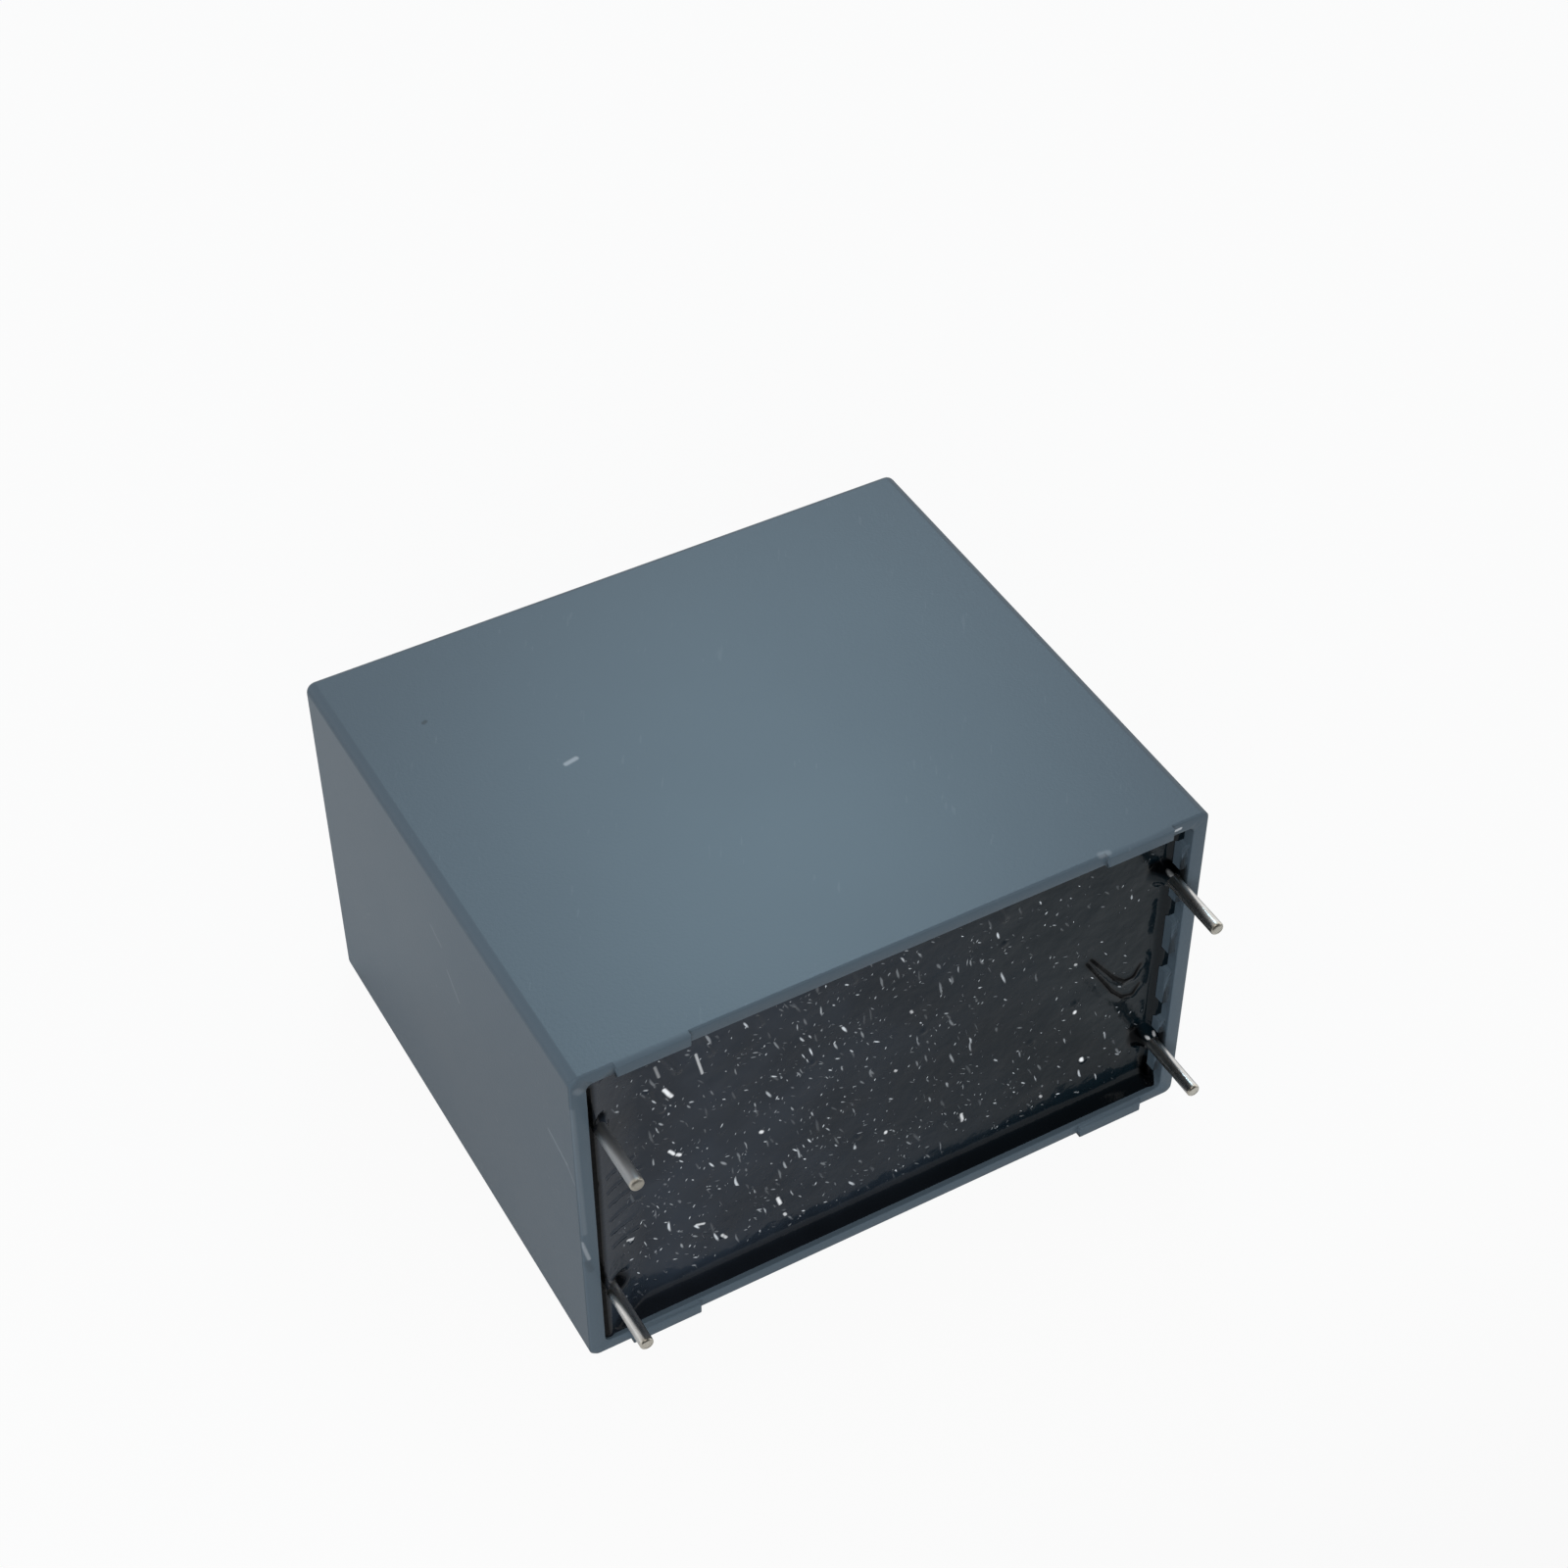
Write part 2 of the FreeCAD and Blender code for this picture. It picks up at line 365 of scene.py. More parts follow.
def drift_group(name):
    """Slow drift of a colour's tone over a surface."""
    group, given, made = start_group(
        name, [("Colour", "Color", (0.5, 0.5, 0.5, 1)), ("Size", "Float", 0.02), ("Amount", "Float", 0.1)],
        [("Colour", "Color"), ("Mask", "Float")])
    density = maths(group, "DIVIDE", 1.0, given["Size"])
    tone = noise(group, given["Place"], density, 4.0)
    swing = remap(group, tone, 0.3, 0.7, -1.0, 1.0)
    gain = maths(group, "MULTIPLY_ADD", swing, given["Amount"], 1.0)
    group.links.new(vector_maths(group, "SCALE", given["Colour"], scale=gain), made["Colour"])
    group.links.new(remap(group, tone, 0.3, 0.7), made["Mask"])
    return group


def hairline_group(name):
    """Short fine scratches that lie in many directions."""
    group, given, made = start_group(
        name, [("Spacing", "Float", 0.004), ("Stretch", "Float", 14.0), ("Turn", "Float", 0.6)],
        [("Mask", "Float")])
    turned = add_node(group, "ShaderNodeVectorRotate", {
        "Vector": given["Place"], "Axis": (0.35, 0.45, 0.82), "Angle": given["Turn"]},
        rotation_type="AXIS_ANGLE")
    density = maths(group, "DIVIDE", 1.0, given["Spacing"])
    scaled = vector_maths(group, "SCALE", turned.outputs["Vector"], scale=density)
    squeeze = add_node(group, "ShaderNodeCombineXYZ", {"X": given["Stretch"], "Y": 1.0, "Z": given["Stretch"]})
    stretched = vector_maths(group, "MULTIPLY", scaled, squeeze.outputs["Vector"])
    thin = remap(group, noise(group, stretched, 1.0, 1.0, 0.4), 0.70, 0.76)
    some = remap(group, noise(group, scaled, 0.6, 2.0), 0.50, 0.62)
    group.links.new(maths(group, "MULTIPLY", thin, some), made["Mask"])
    return group


def fleck_group(name):
    """Scattered bright flecks, painted glints in the colour, each a short stroke of its own size and brightness."""
    group, given, made = start_group(
        name, [("Spacing", "Float", 0.0009), ("Turn", "Float", 0.5), ("Stretch", "Float", 2.0),
               ("Amount", "Float", 0.4)],
        [("Mask", "Float"), ("Height", "Float")])
    # noise bends the pattern by up to 0.8 mm, so that no two flecks are alike
    bend = noise(group, given["Place"], 260.0, 1.0, output="Color")
    centred = vector_maths(group, "SUBTRACT", bend, (0.5, 0.5, 0.5))
    shifted = vector_maths(group, "MULTIPLY_ADD", centred, (0.0016, 0.0016, 0.0016), given["Place"])
    turned = add_node(group, "ShaderNodeVectorRotate", {
        "Vector": shifted, "Axis": (0, 1, 0), "Angle": given["Turn"]}, rotation_type="AXIS_ANGLE")
    across, _, up = split(group, turned.outputs["Vector"])
    flat = add_node(group, "ShaderNodeCombineXYZ", {
        "X": maths(group, "DIVIDE", across, given["Spacing"]),
        "Y": maths(group, "DIVIDE", up, maths(group, "MULTIPLY", given["Spacing"], given["Stretch"]))})
    cells = add_node(group, "ShaderNodeTexVoronoi", {
        "Vector": flat.outputs["Vector"], "Scale": 1.0, "Randomness": 1.0}, feature="F1", voronoi_dimensions="2D")
    # each cell draws three lots: whether it holds a fleck, how bright and how large
    lot = add_node(group, "ShaderNodeSeparateColor", {"Color": cells.outputs["Color"]})
    crowded = remap(group, noise(group, given["Place"], 310.0, 1.0), 0.38, 0.62, 0.35, 1.65)
    kept = maths(group, "LESS_THAN", lot.outputs["Red"], maths(group, "MULTIPLY", given["Amount"], crowded))
    reach = maths(group, "MULTIPLY_ADD", lot.outputs["Blue"], 0.11, 0.08)
    dot = remap(group, maths(group, "DIVIDE", cells.outputs["Distance"], reach), 1.0, 0.35)
    shine = maths(group, "MULTIPLY_ADD", maths(group, "POWER", lot.outputs["Green"], 3.2), 0.85, 0.06)
    shown = maths(group, "MULTIPLY", dot, kept)
    group.links.new(maths(group, "MULTIPLY", shown, shine), made["Mask"])
    group.links.new(shown, made["Height"])
    return group


def mark_group(name):
    """A soft short stroke between two points."""
    group, given, made = start_group(
        name, [("Start", "Vector", None), ("End", "Vector", None), ("Width", "Float", 0.0003)],
        [("Mask", "Float")])
    reach = vector_maths(group, "SUBTRACT", given["End"], given["Start"])
    away = vector_maths(group, "SUBTRACT", given["Place"], given["Start"])
    along = vector_maths(group, "DOT_PRODUCT", away, reach)
    whole = maths(group, "MAXIMUM", vector_maths(group, "DOT_PRODUCT", reach, reach), 1e-12)
    share = maths(group, "DIVIDE", along, whole, clamp=True)
    gap = vector_maths(group, "DISTANCE", away, vector_maths(group, "SCALE", reach, scale=share))
    group.links.new(remap(group, maths(group, "DIVIDE", gap, given["Width"]), 1.0, 0.25), made["Mask"])
    return group


GROUPS = {
    "Fine Grain": grain_group, "Tone Drift": drift_group, "Hairlines": hairline_group,
    "Bright Flecks": fleck_group, "Short Mark": mark_group,
}


def group_node(tree, name, place, inputs):
    """A node of a shared group, which is built when it is first needed, with its place and inputs filled."""
    group = bpy.data.node_groups.get(name) or GROUPS[name](name)
    return add_node(tree, "ShaderNodeGroup", {"Place": place, **inputs}, node_tree=group)


def add_marks(tree, place, colour, marks, spot, pale, dark):
    """A colour with short strokes over it, pale where their change is positive and dark where it is negative."""
    for start, end, width, change in marks:
        mark = group_node(tree, "Short Mark", place, {"Start": spot(start), "End": spot(end), "Width": width * MM})
        amount = maths(tree, "MULTIPLY", mark.outputs["Mask"], abs(change))
        colour = blend_colours(tree, amount, colour, pale if change > 0 else dark)
    return colour


def bump(tree, shader, height, distance, under=None):
    """Feeds a height to the shader's normal, over an earlier bump if one is given."""
    inputs = {"Height": height, "Distance": distance}
    if under is not None:
        inputs["Normal"] = under
    normal = add_node(tree, "ShaderNodeBump", inputs).outputs["Normal"]
    tree.links.new(normal, shader.inputs["Normal"])
    return normal


def ray_kinds(tree):
    """The light path's masks of the camera's rays, and of those that a mirror or glass sends on."""
    rays = add_node(tree, "ShaderNodeLightPath").outputs
    return rays["Is Camera Ray"], maths(tree, "MAXIMUM", rays["Is Glossy Ray"], rays["Is Transmission Ray"])


def give_material(piece, material):
    """The only material of a piece."""
    piece.data.materials.clear()
    piece.data.materials.append(material)


# Pieces


class CAPACITOR_OT_dress_case(bpy.types.Operator):
    """Gives the moulded case its satin plastic, with fine grain, drift, a few scuffs, painted highlights on its edges
    and painted shade under the rim's step and in the lead pockets
    """

    bl_idname = "capacitor.dress_case"
    bl_label = "Dress the case"

    # scuffs and nicks, painted highlights and painted shade: start, end and width in millimetres, and lightening
    marks = (
        ((-13.9, 5.3, 35.0), (-12.9, 5.5, 35.0), 0.34, 0.30),
        ((-22.0, 15.5, 35.0), (-21.8, 15.6, 35.0), 0.30, -0.55),
        ((-28.75, -1.9, 24.8), (-28.75, -3.7, 22.9), 0.28, 0.10),
        ((-28.75, 0.7, 27.8), (-28.75, -1.1, 27.1), 0.25, 0.08),
        ((-28.75, -20.4, 24.6), (-28.75, -23.4, 23.7), 0.26, 0.12),
        ((-28.75, -23.4, 23.7), (-28.75, -24.6, 22.6), 0.26, 0.10),
        # painted highlight on the left rim's step, and painted shade under it
        ((-28.7, -25.0, 15.4), (-28.2, -25.0, 13.1), 0.24, 0.22),
        ((-28.4, -25.0, 12.8), (-28.1, -25.0, 11.6), 0.45, -0.25),
        # painted highlights: along the left front edge, at its upper corner, at the top rim's foot step and at the top
        # right foot's end
        ((-28.6, -24.9, 31.5), (-28.4, -24.9, 16.5), 0.35, 0.06),
        ((-28.1, -25.0, 33.6), (-27.9, -25.0, 33.4), 0.50, 0.08),
        ((18.3, -24.8, 35.0), (18.9, -24.9, 35.0), 0.45, 0.12),
        ((25.3, -25.0, 34.3), (25.9, -25.0, 34.35), 0.19, 0.70),
        # near-black patches in the right lead pockets: painted shade, with a film of resin
        ((27.3, -24.1, 28.4), (27.3, -24.1, 27.0), 1.1, -0.97),
        ((27.3, -24.1, 8.0), (27.3, -24.1, 6.8), 1.1, -0.97),
    )
    pale_mark, dark_mark, hairline_colour = (0.62, 0.66, 0.70, 1), (0.012, 0.013, 0.014, 1), (0.45, 0.5, 0.55, 1)

    def execute(self, context):
        case = merged_copy("case", "moulded_case")
        smooth(case)
        apply_modifier(case, "WEIGHTED_NORMAL", "flat faces", weight=100, keep_sharp=True)
        give_material(case, self.satin_plastic(context.scene.capacitor_case))
        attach(case, "root")
        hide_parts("case")
        return {"FINISHED"}

    def satin_plastic(self, finish):
        """Satin plastic with a slow drift of tone, hairlines, scuffs, painted highlights, painted shade and the mould's
        grain.
        """
        material, tree, shader, place = start_material("satin_case_plastic")
        tone = group_node(tree, "Tone Drift", place, {
            "Colour": opaque(finish.colour), "Size": 0.030, "Amount": finish.drift})
        hairlines = group_node(tree, "Hairlines", place, {"Spacing": 0.0045}).outputs["Mask"]
        lines = maths(tree, "MULTIPLY", hairlines, 0.03)
        colour = blend_colours(tree, lines, tone.outputs["Colour"], self.hairline_colour)
        colour = add_marks(
            tree, place, colour, self.marks, lambda spot: Vector(spot) * MM, self.pale_mark, self.dark_mark)
        rough = maths(tree, "MULTIPLY_ADD", tone.outputs["Mask"], 0.04, finish.roughness - 0.02)
        rough = maths(tree, "MULTIPLY_ADD", hairlines, -0.03, rough)
        fill(tree, shader, {"Base Color": colour, "Roughness": rough, "Specular IOR Level": 0.24})
        grain = group_node(tree, "Fine Grain", place, {"Size": finish.grain})
        first = bump(tree, shader, grain.outputs["Height"], 0.000010)
        bump(tree, shader, hairlines, 0.000001, under=first)
        return material


class CAPACITOR_OT_pour_resin(bpy.types.Operator):
    """Pours the resin: a dished glossy face with coves to the walls, collars round the leads, pits beside the left ones
    and small bumps
    """

    bl_idname = "capacitor.pour_resin"
    bl_label = "Pour the resin"

    # sizes and places here are in millimetres, across and up from the middle of the face
    half_face = (27.9, 16.8)
    quick_steps, wall_behind = (165, 99), 0.0008
    # how the ramp at the left end and the collars bend, and how far a collar clings to its lead
    ramp_bend, collar_bend, collar_cling = 1.5, 1.8, 0.1

    # place, reach and height
    blisters = (
        (-19.8, 8.9, 0.45, 0.14), (-19.5, 1.4, 0.45, 0.14), (18.4, -1.9, 0.5, 0.16), (19.9, -10.1, 0.5, 0.16),
        (-10.0, -10.8, 0.5, 0.16), (-23.8, -6.6, 0.4, 0.12), (-15.5, -11.7, 0.5, 0.14), (7.7, -10.6, 0.45, 0.12),
        (14.2, -4.5, 0.5, 0.12), (3.4, 3.1, 0.5, 0.12), (-7.0, 5.2, 0.45, 0.12), (-2.6, -6.8, 0.5, 0.12),
        (10.8, 9.6, 0.5, 0.10),
    )
    # two ends of a ridge, its half width and height
    runs = (
        ((-20.6, 14.6), (-18.9, 11.2), 0.42, 0.22), ((-17.2, 14.8), (-16.0, 11.6), 0.40, 0.20),
        ((-21.6, 10.2), (-20.4, 7.4), 0.40, 0.16), ((9.5, 14.9), (10.6, 12.6), 0.42, 0.18),
        ((-12.4, 14.8), (-11.6, 12.4), 0.40, 0.14), ((-4.0, 14.9), (-3.2, 12.8), 0.40, 0.12),
        ((-25.9, 3.8), (-22.9, 3.3), 0.20, 0.10), ((-25.9, 1.9), (-22.4, 1.6), 0.20, 0.10),
        ((-25.8, 0.2), (-23.0, -0.3), 0.20, 0.10), ((-25.8, -1.7), (-22.6, -2.0), 0.20, 0.10),
        ((-25.8, -3.4), (-23.2, -3.9), 0.20, 0.10), ((-25.7, -5.2), (-23.0, -5.5), 0.20, 0.10),
    )
    # ripples: the points of two curved ridges, painted dark along their lines as painted dark reflection, all within a
    # window, and their height, half widths above and below, the painted line's half width and fade
    ripples = (
        ((19.7, 2.8), (22.3, -0.8), (23.4, -1.8), (24.3, -1.7), (24.9, -0.5)),
        ((19.3, 2.5), (22.2, -2.4), (23.3, -3.7), (24.4, -4.0), (25.0, -3.0)),
    )
    ripple_left, ripple_low, ripple_high = 17.5, -6, 5
    ripple_height, ripple_above, ripple_below, ripple_line, ripple_fade = 0.10, 0.36, 0.75, 0.38, 1.2
    # height of a mark with full weight
    full_mark = 0.5
    # pits beside the left leads: place, reach and depth
    pits = ((-25.4, -10.4, 1.3, 0.9), (-26.2, 11.2, 0.7, 0.5))

    # where the bumps fade out: distance from the middle and length of the fade, left, right and at the broad walls
    bump_edges = ((26.2, 1.6), (26.4, 0.8), (15.0, 1.2))
    # and the distance from a lead's middle at which they begin
    bump_clear = 1.2
    # bumps all over the face: size and height in metres
    swells = (
        ("slow swell", 0.0045, 0.00022), ("orange peel", 0.0014, 0.00006), ("pimples", 0.00062, 0.00002))

    # layers of painted glint flecks: spacing, turn, stretch and share of cells that hold a fleck
    flecks = ((0.80, 0.45, 3.8, 0.44), (0.66, 1.00, 2.7, 0.42), (0.90, 0.25, 5.6, 0.38), (0.48, -0.45, 2.4, 0.40))
    # single painted glints, highlights painted into the colour: start, end, half width, brightness
    glints = (
        ((-20.1, 9.6), (-19.5, 8.5), 0.26, 1.0), ((-19.9, 2.0), (-19.6, 1.6), 0.22, 0.9),
        ((-19.3, 1.3), (-19.0, 1.0), 0.24, 1.0), ((-20.8, 12.7), (-20.5, 11.4), 0.19, 0.25),
        ((-17.3, 12.2), (-16.8, 9.7), 0.17, 0.5), ((-23.6, 2.1), (-22.9, 1.6), 0.17, 0.4),
        ((-24.2, -6.2), (-23.6, -6.5), 0.17, 0.6), ((18.5, -3.0), (18.5, -3.1), 0.26, 1.0),
        ((19.7, -9.8), (19.7, -9.9), 0.28, 1.0), ((-11.7, -0.6), (-11.6, -0.7), 0.26, 0.9),
        ((0.1, -7.8), (0.1, -7.9), 0.24, 0.9), ((7.6, -10.0), (7.7, -10.9), 0.21, 0.7),
        ((-10.2, -10.2), (-10.0, -11.0), 0.24, 0.8), ((-15.5, -11.6), (-15.1, -12.3), 0.21, 0.7),
        ((-17.8, -8.8), (-17.1, -9.1), 0.19, 0.7), ((15.7, -12.4), (15.8, -12.6), 0.19, 0.5),
        ((18.1, 3.1), (18.2, 3.0), 0.19, 0.5), ((0.8, -0.3), (0.9, -0.4), 0.19, 0.6),
        ((2.1, 6.3), (2.2, 6.1), 0.19, 0.5), ((-9.6, -12.6), (-9.5, -12.8), 0.21, 0.7),
        ((26.0, 10.9), (26.1, 10.8), 0.26, 1.0), ((26.5, -9.4), (26.6, -9.4), 0.19, 0.7),
        ((25.8, -9.5), (25.9, -9.5), 0.17, 0.6),
    )
    # painted shade and painted dark reflection, which stay black: the shadowed gap beside the left wall, the lead pits
    # and feet, the bottom cove and the right cove
    gaps = (
        ((-27.15, 15.4), (-27.1, 4.0), 0.75, -1.0), ((-27.1, 4.0), (-27.2, -8.0), 0.75, -1.0),
        ((-27.2, -8.0), (-27.1, -15.6), 0.80, -1.0), ((-26.5, 11.1), (-26.0, 11.2), 0.8, -0.9),
        ((-25.5, -9.9), (-25.3, -10.9), 1.5, -0.9), ((25.0, 11.2), (27.0, 11.2), 1.1, -0.9),
        ((25.2, -10.6), (25.0, -9.0), 1.1, -0.9), ((26.4, -13.4), (26.6, -15.0), 1.0, -0.9),
        ((-27.0, -16.3), (27.0, -16.3), 2.2, -0.78), ((26.9, -16.0), (26.9, 16.0), 1.2, -0.4),
    )
    # colours of the painted glint flecks, the painted glints and the painted shade
    fleck_colour, glint_colour, gap_colour = (0.74, 0.80, 0.86, 1), (0.86, 0.89, 0.92, 1), (0.0008, 0.001, 0.0014, 1)
    # where the flecks fade out, in metres: up from the middle, under the rim and at the right end
    fade_up, fade_under, fade_right = (0.0150, 0.0136), (0.0009, 0.0015), (0.0262, 0.0245)
    # where they thin out to the left and right, and to which share
    thin_left, thin_right, thinnest = (-0.0262, -0.0205), (0.024, -0.002), 0.35
    # where the colour darkens from left to right as painted shade, and the green at which the painted shade strokes
    # turn to black metal
    shift_from_to, metal_green = (-0.026, 0.030), (0.0019, 0.0011)

    def execute(self, context):
        pour = context.scene.capacitor_resin
        face = self.make_face(pour)
        self.raise_coves(face, pour)
        self.raise_marks(face)
        self.roughen(face)
        body = self.close_body(face)
        self.fit_to_neighbours(body)
        self.paint(body, pour)
        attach(body, "root")
        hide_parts("resin_fill")
        return {"FINISHED"}

    def make_face(self, pour):
        """A fine flat grid at the level of the pool, reaching into the walls."""
        half_x, half_z = (half * MM for half in self.half_face)
        columns, rows = ((pour.columns, pour.rows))
        deselect_all()
        bpy.ops.mesh.primitive_grid_add(
            x_subdivisions=columns, y_subdivisions=rows, size=1,
            location=(0, RIM_Y + pour.pool_depth, MID_Z), rotation=(math.pi / 2, 0, 0))
        face = bpy.context.object
        face.name = "poured_resin"
        face.scale = (2 * half_x, 2 * half_z, 1)
        return settle(face)

    def raise_coves(self, face, pour):
        """Raises the resin to the walls and ribs, and in a collar around each lead."""
        wall, rib = pour.wall_face / MM, pour.rib_face / MM
        deep = pour.pool_depth / MM
        full = deep - pour.left_level / MM
        right_rise = deep - pour.right_level / MM
        wall_rise = deep - pour.wall_level / MM
        foot, lead = pour.collar_radius / MM, LEAD_RADIUS / MM
        collar_rise = deep - pour.collar_level / MM

        def cove(distance, radius):
            """Height of a hollow quarter round at a distance from its wall."""
            reach = radius - max(distance, 0.0)
            return radius - math.sqrt(max(radius * radius - reach * reach, 0.0)) if reach > 0 else 0.0

        def level(x, z):
            if x > 0:
                sideways = min(cove(rib - x, pour.right_cove_radius / MM), right_rise)
            else:
                sideways = full * min(1.0, max(0.0, 1 - (rib + x) / (pour.ramp_length / MM))) ** self.ramp_bend
            upwards = min(cove(wall - abs(z), pour.cove_radius / MM), wall_rise)
            away = math.hypot(abs(x) - LEAD_X / MM, abs(z) - LEAD_Z / MM)
            share = min(1.0, max(0.0, (foot - away) / (foot - lead - self.collar_cling)))
            collar = collar_rise * share ** self.collar_bend
            height = max(min(math.hypot(sideways, upwards), max(sideways, wall_rise)), collar)
            for across, high, reach, depth in self.pits:
                ratio = math.hypot(x - across, z - high) / reach
                if ratio < 1:
                    height -= depth * (1 - ratio * ratio) ** 2
            return max(height, 0.0) / full

        weigh(face, "coves", level)
        push_out(face, "coves", full * MM)

    def raise_marks(self, face):
        """Raises the single blisters, runs and ripples that the pour has left."""
        def hump(ratio):
            return (1 - ratio * ratio) ** 2 if ratio < 1 else 0.0

        def nearest(x, z, start, end):
            """Distance to a stroke, and how far the point lies above it."""
            dx, dz = end[0] - start[0], end[1] - start[1]
            share = ((x - start[0]) * dx + (z - start[1]) * dz) / (dx * dx + dz * dz)
            share = min(1.0, max(0.0, share))
            above = z - start[1] - share * dz
            return math.hypot(x - start[0] - share * dx, above), above

        def marks(x, z):
            height = 0.0
            for across, up, reach, tall in self.blisters:
                if abs(x - across) < reach and abs(z - up) < reach:
                    height = max(height, tall * hump(math.hypot(x - across, z - up) / reach))
            for start, end, half_width, tall in self.runs:
                if min(start[0], end[0]) - 1 < x < max(start[0], end[0]) + 1:
                    height = max(height, tall * hump(nearest(x, z, start, end)[0] / half_width))
            if x > self.ripple_left and self.ripple_low < z < self.ripple_high:
                for points in self.ripples:
                    away, above = min(nearest(x, z, a, b) for a, b in zip(points, points[1:]))
                    from_end = min(math.dist((x, z), points[0]), math.dist((x, z), points[-1]))
                    tall = self.ripple_height * min(1.0, from_end / self.ripple_fade)
                    half_width = self.ripple_above if above > 0 else self.ripple_below
                    height = max(height, tall * hump(away / half_width))
            return height / self.full_mark

        weigh(face, "marks", marks)
        push_out(face, "marks", self.full_mark * MM)

    def roughen(self, face):
        """Lets the whole pool swell a little, and covers it with small bumps."""
        def inside(x, z):
            """Fades the bumps out at the ends, the broad walls and the leads."""
            (left, left_fade), (right, right_fade), (wall, wall_fade) = self.bump_edges
            across = min(1.0, max(0.0, (x + left) / left_fade), max(0.0, (right - x) / right_fade))
            clear = min(math.hypot(abs(x) - LEAD_X / MM, abs(z) - LEAD_Z / MM) - self.bump_clear, 1.0)
            return across * min(1.0, max(0.0, (wall - abs(z)) / wall_fade)) * max(clear, 0.0)

        weigh(face, "inside", inside)
        for name, size, height in self.swells:
            push_out(face, "inside", height, clouds(name, size, "IMPROVED_PERLIN"))

    def close_body(self, face):
        """Gives the face its depth down to the closed wall and closes it behind."""
        pick_open_edges(face)
        # the edge goes back by any length, and is then laid flat within the closed wall
        bpy.ops.mesh.extrude_edges_move(TRANSFORM_OT_translate={"value": (0, 0.04, 0)})
        bpy.ops.transform.resize(
            value=(1, 0, 1), center_override=(0, CASE_HIGH.y - self.wall_behind, 0), orient_type="GLOBAL")
        bpy.ops.mesh.edge_face_add()
        bpy.ops.mesh.select_all(action="SELECT")
        bpy.ops.mesh.normals_make_consistent(inside=False)
        bpy.ops.object.mode_set(mode="OBJECT")
        face.vertex_groups.clear()
        return face

    def fit_to_neighbours(self, body):
        """Cuts the case and everything that the resin holds out of it."""
        cutters = [self.make_cutter("case")]
        cutters += [self.make_cutter(node) for node in INNER_SOLIDS + LEADS]
        for cutter in cutters:
            apply_modifier(body, "BOOLEAN", "fit", operation="DIFFERENCE", solver="EXACT", object=cutter)
            bpy.data.objects.remove(cutter)
        # closes the small holes that the cuts leave
        pick_open_edges(body)
        bpy.ops.mesh.fill_holes(sides=0)
        smooth(body)

    def make_cutter(self, node):
        """A closed copy of a neighbour. A solder's channel is filled, because its lead is cut out as well."""
        cutter = merged_copy(node, node + " cutter")
        if node.startswith("solder"):
            low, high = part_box(node)
            pick(cutter, "VERT", lambda vertex: True)
            bpy.ops.mesh.convex_hull()
            # a hair wider, so that it shares no plane with the sprayed end
            bpy.ops.transform.resize(value=(1.005, 1, 1), center_override=(low + high) / 2)
            deselect_all()
        return cutter

    def paint(self, body, pour):
        """Black gloss resin with painted glints as bright flecks, denser to the left, black strokes of painted shade
        and painted dark reflection at the left wall, the leads, the coves and the ripples, and painted shade darkening
        it towards the right.
        """
        material, tree, shader, place = start_material("black_potting_resin")
        across, back, up = split(tree, place)
        flat = add_node(tree, "ShaderNodeCombineXYZ", {"X": across, "Z": up}).outputs["Vector"]
        tone = group_node(tree, "Tone Drift", place, {
            "Colour": opaque(pour.colour), "Size": 0.006, "Amount": 0.20})
        # painted shade: the colour darkens towards the right
        rightness = remap(tree, across, *self.shift_from_to)
        colour = blend_colours(tree, rightness, tone.outputs["Colour"], opaque(pour.far_colour))

        from_middle = maths(tree, "ABSOLUTE", maths(tree, "SUBTRACT", up, MID_Z))
        open_face = maths(tree, "MULTIPLY", remap(tree, from_middle, *self.fade_up),
                          remap(tree, back, *(RIM_Y + depth for depth in self.fade_under)))
        open_face = maths(tree, "MULTIPLY", open_face, remap(tree, across, *self.fade_right))
        crowding = maths(tree, "MULTIPLY", remap(tree, across, *self.thin_left, self.thinnest),
                         remap(tree, across, *self.thin_right, self.thinnest))
        heights = []
        for spacing, turn, stretch, amount in self.flecks:
            layer = group_node(tree, "Bright Flecks", flat, {
                "Spacing": spacing * MM, "Turn": turn, "Stretch": stretch,
                "Amount": maths(tree, "MULTIPLY", crowding, amount)})
            shown = maths(tree, "MULTIPLY", layer.outputs["Mask"], open_face)
            colour = blend_colours(tree, shown, colour, self.fleck_colour)
            heights.append(maths(tree, "MULTIPLY", layer.outputs["Height"], open_face))
        # the ripples' lines are painted dark as well, as painted dark reflection
        lines = tuple((a, b, self.ripple_line, -1.0) for points in self.ripples for a, b in zip(points, points[1:]))
        colour = add_marks(
            tree, flat, colour, self.glints + self.gaps + lines, self.on_face, self.glint_colour, self.gap_colour)
        # the painted shade strokes turn to a black metal, which mirrors nothing, so they stay dark
        green = add_node(tree, "ShaderNodeSeparateColor", {"Color": colour}).outputs["Green"]
        fill(tree, shader, {
            "Base Color": colour, "Metallic": remap(tree, green, *self.metal_green), "Specular IOR Level": 0.27,
            "Roughness": maths(tree, "MULTIPLY_ADD", tone.outputs["Mask"], 0.05, 0.10)})
        fine = group_node(tree, "Fine Grain", place, {"Size": 0.0006, "Roughness": 0.5})
        normal = bump(tree, shader, fine.outputs["Height"], 0.00002)
        for height in heights:
            normal = bump(tree, shader, height, 0.00004, under=normal)
        give_material(body, material)

    def on_face(self, spot):
        """A spot given across and up from the middle of the face, as a flat place in metres."""
        return Vector((spot[0] * MM, 0, MID_Z + spot[1] * MM))


